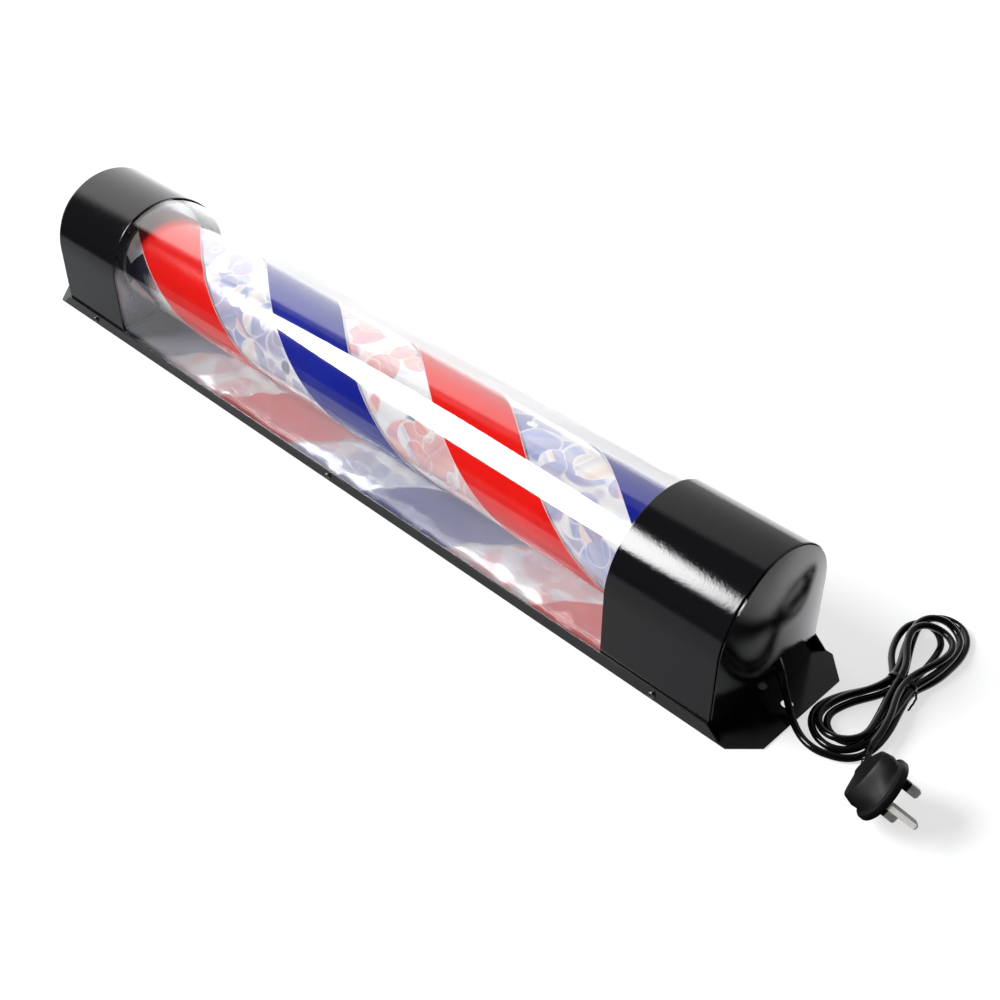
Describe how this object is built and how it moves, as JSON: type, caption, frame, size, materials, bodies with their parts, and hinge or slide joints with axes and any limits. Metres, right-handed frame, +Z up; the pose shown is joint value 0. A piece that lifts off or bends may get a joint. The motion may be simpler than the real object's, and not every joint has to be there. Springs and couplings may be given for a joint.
{
  "type": "barber pole light",
  "caption": "Wall-mounted barber pole light on its back: black tray and caps, clear half-round cover, motor-turned red and blue striped drum, with its mains lead and plug.",
  "frame": {"origin": "centre of the tray's flat back, on the surface that the light lies on; the lead, its hank and the plug are left out", "axes": "+X along the pole towards the end that the lead leaves, +Z up, away from the tray's back, +Y across the tray"},
  "size_m": [1.008, 0.2281, 0.1273],
  "materials": {
    "black_paint": "high gloss black powder coat on thin steel sheet",
    "clear_cover": "clear polished acrylic",
    "mirror_sheet": "mirror-finish aluminium sheet",
    "drum_clear": "clear thin plastic tube",
    "prism_film": "silvery iridescent lens film",
    "red_film": "saturated red gloss film",
    "blue_film": "saturated blue gloss film",
    "white_plastic": "moulded white plastic",
    "zinc_steel": "zinc-plated sheet steel",
    "screw_zinc": "bright zinc plate",
    "bearing_brass": "plain machined brass",
    "lamp_opal": "opal diffuser",
    "black_rubber": "smooth flexible black PVC",
    "plug_black": "moulded black plastic with a soft gloss",
    "pin_brass": "nickel-plated brass"
  },
  "bodies": {
    "pole": {"base_tray": "black_paint", "far_cap_shell": "black_paint", "cord_cap_shell": "black_paint", "far_end_plate": "black_paint", "cord_end_plate": "black_paint", "clear_cover": "clear_cover", "mirror_sheet": "mirror_sheet", "motor_bracket": "zinc_steel", "bearing_bracket": "zinc_steel", "journal_bearing": "bearing_brass", "lamp_tube": "lamp_opal", "lamp_pilot_cap": "white_plastic", "lamp_contact_cap": "white_plastic", "lamp_holder": "white_plastic", "motor_gearbox": "zinc_steel", "motor_can": "zinc_steel", "lamp_driver": "white_plastic", "terminal_block": "white_plastic", "lead_sleeve": "black_rubber", "cord_lead": "black_rubber", "cord_hank": "black_rubber", "cord_tie": "black_rubber", "cord_tail": "black_rubber", "plug_body": "plug_black", "plug_sleeve": "black_rubber", "fuse_carrier": "plug_black", "plug_pin_live": "pin_brass", "plug_pin_neutral": "pin_brass", "plug_pin_earth": "pin_brass", "plug_pin_sleeve_live": "plug_black", "plug_pin_sleeve_neutral": "plug_black", "side_screw_near_far": "screw_zinc", "side_screw_near_mid": "screw_zinc", "side_screw_near_cord": "screw_zinc", "motor_bracket_screw_near": "screw_zinc", "bearing_bracket_screw_near": "screw_zinc", "motor_screw_near": "screw_zinc", "side_screw_rear_far": "screw_zinc", "side_screw_rear_mid": "screw_zinc", "side_screw_rear_cord": "screw_zinc", "motor_bracket_screw_rear": "screw_zinc", "bearing_bracket_screw_rear": "screw_zinc", "motor_screw_rear": "screw_zinc"},
    "drum": {"drum_tube": "drum_clear", "prism_film": "prism_film", "red_stripe": "red_film", "blue_stripe": "blue_film", "drum_drive_disc": "white_plastic", "drum_journal_disc": "white_plastic", "drive_coupling": "white_plastic", "motor_shaft": "zinc_steel"}
  },
  "joints": [
    {"name": "drum_spin", "type": "hinge", "parent": "pole", "child": "drum", "pos_m": [0, 0, 0.0648], "axis": [1, 0, 0], "continuous": true}
  ]
}
